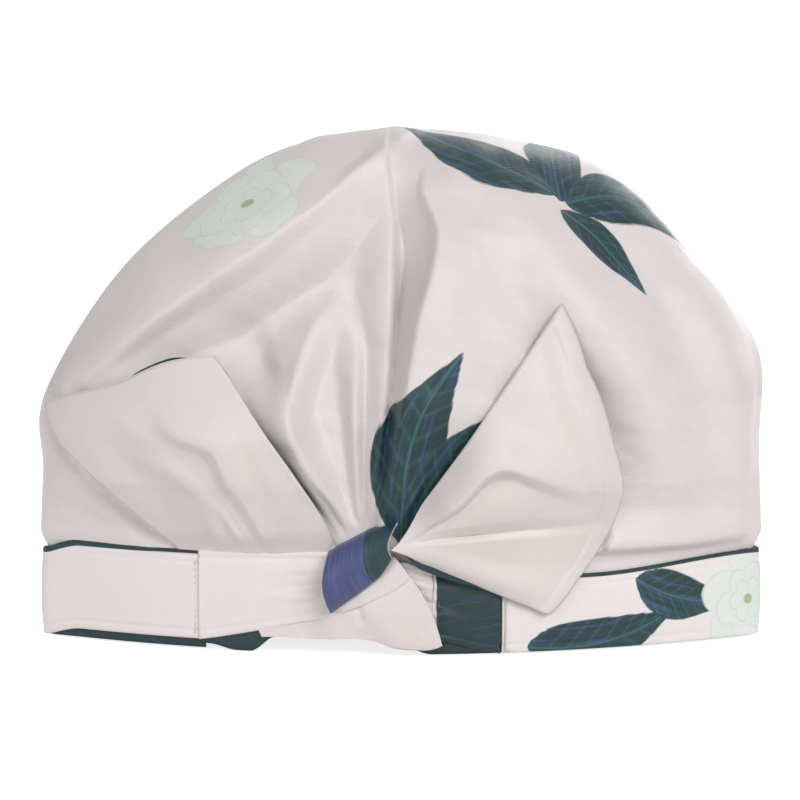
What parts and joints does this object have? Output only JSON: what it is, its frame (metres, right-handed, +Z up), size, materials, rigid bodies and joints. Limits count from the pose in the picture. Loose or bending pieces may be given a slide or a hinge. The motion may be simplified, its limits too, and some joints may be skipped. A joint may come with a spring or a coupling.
{
  "type": "turban shower cap",
  "caption": "Lined fabric shower cap in a turban style, pleated into a knotted bow at the front, with an elastic casing round the back of its band.",
  "frame": {"origin": "centre of the head opening, in the plane of the band's lower edge", "axes": "+Z up to the crown, -Y to the front where the bow is, +X to the viewer's right of the bow"},
  "size_m": [0.28, 0.1423, 0.1975],
  "materials": {
    "cloth": "satin-faced ribbed polyester, pale blush",
    "print": "the same cloth where its print is dark teal",
    "indigo": "the same cloth where its print is indigo",
    "lining": "soft waterproof film",
    "elastic": "woven flat elastic",
    "thread": "polyester sewing thread"
  },
  "bodies": {
    "cap": {"crown_shell": "cloth", "crown_lining": "lining", "front_facing": "cloth", "left_tie": "cloth", "right_tie": "print", "knot_core": "cloth", "knot_wrap": "indigo"},
    "rear_band": {"rear_casing": "cloth", "casing_lining": "print", "casing_piping": "print", "rear_elastic": "elastic", "left_seam_stitching": "thread", "right_seam_stitching": "thread"},
    "left_ear": {"left_ear_front": "cloth", "left_ear_back": "print", "left_ear_edge_seam": "thread"},
    "right_ear": {"right_ear_front": "cloth", "right_ear_back": "print", "right_ear_edge_seam": "thread"},
    "tail": {"tail_front": "cloth", "tail_back": "print"}
  },
  "joints": [
    {"name": "elastic_stretch", "type": "slide", "parent": "cap", "child": "rear_band", "axis": [0, 1, 0], "range_m": [0, 0.04], "stiffness_N_per_m": 60},
    {"name": "left_ear_flop", "type": "hinge", "parent": "cap", "child": "left_ear", "pos_m": [-0.0565, -0.0399, 0.0355], "axis": [0.9667, -0.2559, 0], "range_deg": [0, 75]},
    {"name": "right_ear_flop", "type": "hinge", "parent": "cap", "child": "right_ear", "pos_m": [0.0013, -0.0556, 0.043], "axis": [0.2081, 0.2471, -0.9464], "range_deg": [0, 75]},
    {"name": "tail_lift", "type": "hinge", "parent": "cap", "child": "tail", "pos_m": [-0.0113, -0.05, 0.0245], "axis": [-0.665, 0.036, -0.746], "range_deg": [0, 50]}
  ]
}
